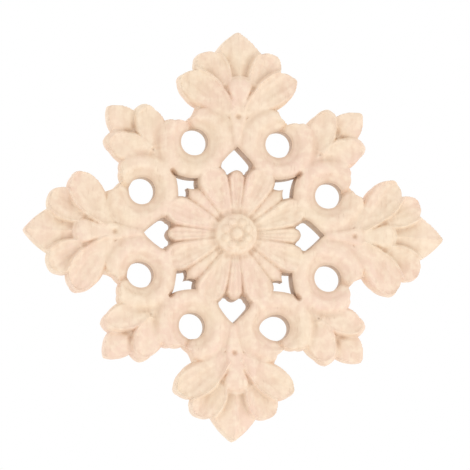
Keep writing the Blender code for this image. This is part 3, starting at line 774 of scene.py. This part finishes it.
def eighth_loops():
    """The border of one eighth, clockwise from the leaf's tip, and the round hole in it."""
    outer = arcs(OUTLINE, CORNER_TIP, OUTLINE_STEP)
    diagonal = straight(CORNER_TIP, CORNER_GAP_OUTER, OUTLINE_STEP)
    gap = arcs(CORNER_GAP, CORNER_GAP_OUTER, OUTLINE_STEP)[::-1]
    inner_diagonal = straight(gap[-1], (0, 0), OUTLINE_STEP)
    axis = np.vstack([np.zeros((1, 2)), straight((0, 0), HEART_CLEFT, OUTLINE_STEP)])
    heart = arcs(HEART, HEART_CLEFT, OUTLINE_STEP)[::-1]
    outer_axis = straight(HEART_APEX, LEAF_TIP, OUTLINE_STEP)
    border = np.vstack([outer, diagonal, gap, inner_diagonal, axis, heart, outer_axis])
    count = round(2 * math.pi * HOLE_RADIUS / OUTLINE_STEP)
    turn = np.arange(count) * 2 * math.pi / count
    hole = np.array(HOLE_AT) + HOLE_RADIUS * np.column_stack([np.cos(turn), np.sin(turn)])
    return border, hole


def honeycomb(border, hole):
    """Points of a triangular grid inside the border and outside the hole."""
    low = border.min(axis=0)
    high = border.max(axis=0)
    rows = np.arange(low[1], high[1], GRID_STEP * math.sqrt(3) / 2)
    grid = []
    for index, y in enumerate(rows):
        x = np.arange(low[0] + (index % 2) * GRID_STEP / 2, high[0], GRID_STEP)
        grid.append(np.column_stack([x, np.full(len(x), y)]))
    points = np.vstack(grid)
    clear = GRID_STEP * GRID_CLEARANCE
    keep = (depth_inside(points, border) > clear) & (depth_inside(points, hole) < -clear)
    return points[keep]


def triangulate(loops, inner):
    """Triangles over the area inside the first loop and outside the others."""
    points = np.vstack([*loops, inner])
    edges = []
    first = 0
    for loop in loops:
        count = len(loop)
        edges += [(first + index, first + (index + 1) % count) for index in range(count)]
        first += count
    made = delaunay_2d_cdt([Vector(point) for point in points], edges, [], 0, 1e-9)
    source = [origin[0] for origin in made[3]]
    triangles = np.array([[source[index] for index in face] for face in made[2]])
    middles = points[triangles].mean(axis=1)
    keep = depth_inside(middles, loops[0]) > 0
    for loop in loops[1:]:
        keep &= depth_inside(middles, loop) < 0
    triangles = triangles[keep]
    first_side = points[triangles[:, 1]] - points[triangles[:, 0]]
    second_side = points[triangles[:, 2]] - points[triangles[:, 0]]
    turned = first_side[:, 0] * second_side[:, 1] < first_side[:, 1] * second_side[:, 0]
    triangles[turned] = triangles[turned][:, ::-1]
    return points, triangles


def eight_fold(points, triangles):
    """All eight mirror images of one eighth of the face, before their seams are joined."""
    all_points = []
    all_triangles = []
    for swap in (False, True):
        for side in (1, -1):
            for up in (1, -1):
                image = points[:, (1, 0, 2, 3)] if swap else points
                image = image * np.array((side, up, 1, 1))
                mirrored = swap != (side * up < 0)
                faces = triangles[:, ::-1] if mirrored else triangles
                all_triangles.append(faces + len(all_points) * len(points))
                all_points.append(image)
    return np.vstack(all_points), np.vstack(all_triangles)


def joined(points, triangles):
    """The same surface with the points that coincide made one."""
    rounded = np.round(points / WELD).astype(int)
    _, first, index = np.unique(rounded, axis=0, return_index=True, return_inverse=True)
    return points[first], index.reshape(-1)[triangles]


def rims(points, triangles):
    """The open borders of a surface as loops of point numbers, the longest one first."""
    sides = {(int(face[i]), int(face[i - 2])) for face in triangles for i in range(3)}
    onward = {end: start for start, end in sides if (end, start) not in sides}
    loops = []
    while onward:
        first, here = onward.popitem()
        loop = [first]
        while here != first:
            loop.append(here)
            here = onward.pop(here)
        loops.append(loop)
    return sorted(loops, key=lambda loop: -np.ptp(points[loop, 0]))


def leaned(loop):
    """The outline of an opening at the back: drawn in if the opening is cut, not if drilled."""
    middle = loop.mean(axis=0)
    reach = np.hypot(*(loop - middle).T)
    if np.ptp(reach) < ROUNDNESS:
        return loop
    return middle + (loop - middle) * (1 - LEAN / reach.mean())


def strayed(points):
    """Plan points moved as a carver's hand strays from the pattern."""
    moved = points.copy()
    for place, shift, radius in STRAYS:
        away = np.hypot(*(points - np.array(place)).T) / radius
        moved += np.exp(-(away**2))[:, None] * np.array(shift)
    return moved


def hand_marks(points):
    """Shallow facets that the gouges leave, as a height."""
    marks = np.zeros(len(points))
    for length, size in GOUGE_MARKS:
        places = [Vector((x / length, y / length, MARKS_LEVEL)) for x, y in points]
        marks += size * np.array([noise.noise(place) for place in places])
    return marks


def shade_at_openings(points):
    """The painted shade on the face along the openings' edges, in the first eighth."""
    heart = arcs(HEART, HEART_CLEFT, OUTLINE_STEP)
    gap = arcs(CORNER_GAP, CORNER_GAP_OUTER, OUTLINE_STEP)
    away = np.hypot(*(points - np.array(HOLE_AT)).T) - HOLE_RADIUS
    for place in np.vstack([heart, gap]):
        away = np.minimum(away, np.hypot(*(points - place).T))
    return OPENING_SHADE * np.exp(-((away / OPENING_SHADE_WIDTH) ** 2))


def surroundings(triangles, height):
    """The mean height of each point's surroundings."""
    sides = np.vstack([triangles[:, [0, 1]], triangles[:, [1, 2]], triangles[:, [2, 0]]])
    mean = height.copy()
    for _ in range(SPREADING_STEPS):
        total = np.zeros(len(height))
        count = np.zeros(len(height))
        for start, end in (sides.T, sides[:, ::-1].T):
            np.add.at(total, start, mean[end])
            np.add.at(count, start, 1)
        mean = total / count
    return mean


def painted_shading(plan, triangles, height, rim):
    """The painted shade at each point of the first eighth, for lying in a hollow or at an opening, and
    the painted highlight, as a negative value, for lying on a ridge or at the outer edge."""
    from_edge = depth_inside(plan, rim)
    inland = np.clip((from_edge - HOLLOW_START) / HOLLOW_FADE, 0, 1)
    under = (surroundings(triangles, height) - height) * inland
    # Painted highlight along the outer edge
    edge_highlight = EDGE_HIGHLIGHT * np.exp(-((from_edge / EDGE_HIGHLIGHT_WIDTH) ** 2))
    return np.maximum(np.clip(under / FULL_HOLLOW, -1, 1) - edge_highlight, shade_at_openings(plan))


def carved_face():
    """The whole front as points and triangles, and its painted shade and highlight at each point."""
    border, hole = eighth_loops()
    rim = full_rim()
    plan, triangles = triangulate([border, hole], honeycomb(border, hole))
    height = relief(plan, rim)
    carved = np.column_stack([plan, height, painted_shading(plan, triangles, height, rim)])
    points, triangles = joined(*eight_fold(carved, triangles))
    face = points[:, :3]
    face[:, 2] += hand_marks(face[:, :2])
    face[:, :2] = strayed(face[:, :2])
    return face, triangles, points[:, 3]


def walls_down(face, loops, back):
    """The rows of points from the face's borders down to the back's, and the walls along them."""
    order = np.concatenate(loops)
    rows = []
    walls = []
    upper = order
    for row in range(WALL_ROWS):
        share = 1 - (row + 1) / WALL_ROWS
        plan = face[order, :2] * share + back * (1 - share)
        rows.append(np.column_stack([plan, face[order, 2] * share]))
        here = len(face) + row * len(back) + np.arange(len(back))
        first = 0
        for loop in loops:
            for index in range(len(loop)):
                at = first + index
                following = first + (index + 1) % len(loop)
                walls.append((upper[at], upper[following], here[following], here[at]))
            first += len(loop)
        upper = here
    return np.vstack(rows), np.array(walls)


def placed(solid):
    """The pattern's points in the frame: stretched to size, and kept inside the plain solid's box."""
    low, high = (np.array(corner) for corner in cad_box)
    across = solid[:, 0] * WIDTH / PATTERN
    up = solid[:, 1] * HEIGHT / PATTERN
    return np.clip(np.column_stack([across, -solid[:, 2], up]), low, high)


def store(mesh, name, domain, values):
    """A value at each point or face, which the material reads by its name."""
    attribute = mesh.attributes.new(name, "FLOAT", domain)
    attribute.data.foreach_set("value", values.astype(np.float32))


def carving():
    """The whole applique as a fine closed mesh, front, walls and flat back."""
    face, triangles, hollow = carved_face()
    loops = rims(face, triangles)
    outer, *openings = [face[loop, :2] for loop in loops]
    back, back_triangles = triangulate([outer] + [leaned(loop) for loop in openings], np.empty((0, 2)))
    rows, walls = walls_down(face, loops, back)
    solid = np.vstack([face, rows])
    back_faces = back_triangles[:, ::-1] + len(solid) - len(back)
    mesh = bpy.data.meshes.new("carving")
    faces = triangles.tolist() + walls.tolist() + back_faces.tolist()
    mesh.from_pydata(placed(solid).tolist(), [], faces)
    # The painted shade and highlight of the face; the walls and the back get none of it
    store(mesh, "painted_shade_and_highlight", "POINT", np.concatenate([hollow, np.zeros(len(rows))]))
    # Painted shade on the openings' walls; the outer walls and the back get their own shares of it
    wall_row = np.ones(len(back))
    wall_row[:len(outer)] = OUTER_WALL_SHADE
    shaded_walls = np.tile(wall_row, WALL_ROWS)
    darkened_back = np.full(len(back_faces), BACK_DARKENING)
    store(mesh, "wall_shade_and_dark_back", "FACE", np.concatenate([np.zeros(len(triangles)), shaded_walls, darkened_back]))
    mesh.shade_smooth()
    mesh.set_sharp_from_angle(angle=math.radians(SHARP_ANGLE))
    return mesh


class Graph:
    """A material's nodes. Each method but put adds one node and returns its output."""

    def __init__(self, material):
        material.use_nodes = True
        self.nodes = material.node_tree.nodes
        self.links = material.node_tree.links
        self.shader = self.nodes["Principled BSDF"]
        self.place = self.nodes.new("ShaderNodeTexCoord").outputs["Object"]

    def put(self, socket, value):
        """An input's plain value, or the output that feeds it."""
        if isinstance(value, bpy.types.NodeSocket):
            self.links.new(value, socket)
        else:
            socket.default_value = value

    def stretched(self, across, along):
        """Object coordinates scaled so that a pattern is drawn out along the grain, up the board."""
        mapping = self.nodes.new("ShaderNodeMapping")
        self.put(mapping.inputs["Vector"], self.place)
        self.put(mapping.inputs["Scale"], (across, across, along))
        return mapping.outputs["Vector"]

    def noise(self, place, scale=1.0, detail=2.0):
        """Soft random patches, as values from 0 to 1."""
        texture = self.nodes.new("ShaderNodeTexNoise")
        self.put(texture.inputs["Vector"], place)
        self.put(texture.inputs["Scale"], scale)
        self.put(texture.inputs["Detail"], detail)
        return texture.outputs["Fac"]

    def cells(self, place):
        """The distance to the nearest of many scattered points."""
        texture = self.nodes.new("ShaderNodeTexVoronoi")
        self.put(texture.inputs["Vector"], place)
        self.put(texture.inputs["Scale"], 1.0)
        return texture.outputs["Distance"]

    def ranged(self, value, low, high, first=0.0, last=1.0):
        """The value between low and high taken to the range from first to last, and kept in it."""
        spread = self.nodes.new("ShaderNodeMapRange")
        self.put(spread.inputs["Value"], value)
        self.put(spread.inputs["From Min"], low)
        self.put(spread.inputs["From Max"], high)
        self.put(spread.inputs["To Min"], first)
        self.put(spread.inputs["To Max"], last)
        return spread.outputs["Result"]

    def times(self, first, second):
        """The product of two values."""
        product = self.nodes.new("ShaderNodeMath")
        product.operation = "MULTIPLY"
        self.put(product.inputs[0], first)
        self.put(product.inputs[1], second)
        return product.outputs[0]

    def mixed(self, share, first, second):
        """One colour going over into another."""
        mix = self.nodes.new("ShaderNodeMix")
        mix.data_type = "RGBA"
        self.put(mix.inputs["Factor"], share)
        self.put(mix.inputs[6], first)
        self.put(mix.inputs[7], second)
        return mix.outputs[2]

    def stored(self, name):
        """A value that the mesh carries."""
        attribute = self.nodes.new("ShaderNodeAttribute")
        attribute.attribute_name = name
        return attribute.outputs["Fac"]

    def bumped(self, height, strength, distance):
        """The surface's direction as if it had that relief."""
        bump = self.nodes.new("ShaderNodeBump")
        self.put(bump.inputs["Height"], height)
        self.put(bump.inputs["Strength"], strength)
        self.put(bump.inputs["Distance"], distance)
        return bump.outputs["Normal"]


def wood():
    """Pale raw wood: faint pink and yellow patches, grain up the board, short open pores, and
    painted shade in the hollows, along the openings and on their walls, with painted highlight on
    ridges and the outer edge."""
    material = bpy.data.materials.new("raw_wood")
    graph = Graph(material)
    patches = graph.ranged(graph.noise(graph.place, PATCH_SCALE), *PATCH_RANGE)
    colour = graph.mixed(patches, PINK_WOOD, YELLOW_WOOD)
    grain = graph.ranged(graph.noise(graph.stretched(*GRAIN_SCALE), detail=3.0), *GRAIN_RANGE)
    colour = graph.mixed(graph.times(grain, GRAIN_WEIGHT), colour, GRAIN_WOOD)
    bright = graph.ranged(graph.noise(graph.place, BRIGHT_SCALE, 3.0), *BRIGHT_RANGE)
    colour = graph.mixed(graph.times(bright, BRIGHT_WEIGHT), colour, BRIGHT_WOOD)
    stroke = graph.ranged(graph.cells(graph.stretched(*PORE_SCALE)), *PORE_RANGE)
    scatter = graph.ranged(graph.noise(graph.place, SCATTER_SCALE, 1.0), *SCATTER_RANGE)
    pores = graph.times(stroke, scatter)
    colour = graph.mixed(graph.times(pores, PORE_WEIGHT), colour, PORE_WOOD)
    # Painted shade in the hollows and along the openings' edges
    hollow = graph.ranged(graph.stored("painted_shade_and_highlight"), *PAINTED_SHADE_RANGE)
    colour = graph.mixed(graph.times(hollow, PAINTED_SHADE_WEIGHT), colour, PAINTED_SHADE_WOOD)
    # Painted highlight on the ridges and along the outer edge
    painted_highlight = graph.ranged(graph.stored("painted_shade_and_highlight"), *PAINTED_HIGHLIGHT_RANGE)
    colour = graph.mixed(graph.times(painted_highlight, PAINTED_HIGHLIGHT_WEIGHT), colour, PAINTED_HIGHLIGHT_WOOD)
    # Painted shade on the openings' walls, and a lighter darkening of the back
    colour = graph.mixed(graph.times(graph.stored("wall_shade_and_dark_back"), WALL_SHADE_WEIGHT), colour, WALL_SHADE_WOOD)
    graph.put(graph.shader.inputs["Base Color"], colour)
    graph.put(graph.shader.inputs["Roughness"], graph.ranged(grain, 0, 1, *ROUGHNESS))
    level = graph.ranged(pores, 0, 1, 1, 0)
    graph.put(graph.shader.inputs["Normal"], graph.bumped(level, PORE_STRENGTH, PORE_DEPTH))
    return material


def area_light(name, location, size, power):
    """A square lamp that points at the middle of the back."""
    light = bpy.data.lights.new(name, "AREA")
    light.shape = "SQUARE"
    light.size = size
    light.energy = power
    obj = bpy.data.objects.new(name, light)
    bpy.context.scene.collection.objects.link(obj)
    obj.location = location
    obj.rotation_euler = (-obj.location).to_track_quat("-Z", "Y").to_euler()


def camera():
    """A long lens that looks at the carved face from slightly left of it and below it."""
    data = bpy.data.cameras.new("camera")
    obj = bpy.data.objects.new("camera", data)
    bpy.context.scene.collection.objects.link(obj)
    azimuth = math.radians(CAMERA_AZIMUTH)
    elevation = math.radians(CAMERA_ELEVATION)
    level = math.cos(elevation)
    away = Vector((math.sin(azimuth) * level, -math.cos(azimuth) * level, math.sin(elevation)))
    place = Matrix.Translation(Vector(CAMERA_TARGET) + CAMERA_DISTANCE * away)
    look = (-away).to_track_quat("-Z", "Y").to_matrix().to_4x4()
    obj.matrix_world = place @ look @ Matrix.Rotation(math.radians(CAMERA_ROLL), 4, "Z")
    data.angle = 2 * math.atan(FRAME_WIDTH / 2 / CAMERA_DISTANCE)
    bpy.context.scene.camera = obj


def floor():
    """A pale floor, which throws light up at the board and is below the picture."""
    bpy.ops.mesh.primitive_plane_add(size=FLOOR_SIZE, location=FLOOR_AT)
    plane = bpy.context.object
    plane.name = "floor"
    material = bpy.data.materials.new("floor")
    material.use_nodes = True
    shader = material.node_tree.nodes["Principled BSDF"]
    shader.inputs["Base Color"].default_value = FLOOR_COLOUR
    shader.inputs["Roughness"].default_value = FLOOR_ROUGHNESS
    plane.data.materials.append(material)


def world():
    """White light from all round, weaker in front of the board, and plain white for the camera."""
    scene = bpy.context.scene
    scene.world = bpy.data.worlds.new("studio")
    scene.world.use_nodes = True
    nodes = scene.world.node_tree.nodes
    links = scene.world.node_tree.links
    background = nodes["Background"]
    background.inputs["Strength"].default_value = 1.0
    direction = nodes.new("ShaderNodeTexCoord")
    parts = nodes.new("ShaderNodeSeparateXYZ")
    links.new(direction.outputs["Generated"], parts.inputs[0])
    ramp = nodes.new("ShaderNodeMapRange")
    ramp.inputs["From Min"].default_value = FRONT_DIRECTION
    ramp.inputs["From Max"].default_value = BACK_DIRECTION
    ramp.inputs["To Min"].default_value = FRONT_LIGHT
    ramp.inputs["To Max"].default_value = BACK_LIGHT
    links.new(parts.outputs["Y"], ramp.inputs["Value"])
    path = nodes.new("ShaderNodeLightPath")
    choose = nodes.new("ShaderNodeMix")
    choose.data_type = "FLOAT"
    links.new(path.outputs["Is Camera Ray"], choose.inputs["Factor"])
    links.new(ramp.outputs["Result"], choose.inputs["A"])
    choose.inputs["B"].default_value = 1.0
    links.new(choose.outputs["Result"], background.inputs["Color"])
    scene.view_settings.view_transform = "Standard"


def main():
    """The carved piece in its place, the floor, the light and the camera."""
    mesh = carving()
    mesh.materials.append(wood())
    piece = bpy.data.objects.new("carved_applique", mesh)
    bpy.context.scene.collection.objects.link(piece)
    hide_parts("applique")
    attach(piece, "root")
    floor()
    world()
    area_light("key", *KEY_LIGHT)
    area_light("fill", *FILL_LIGHT)
    camera()


main()
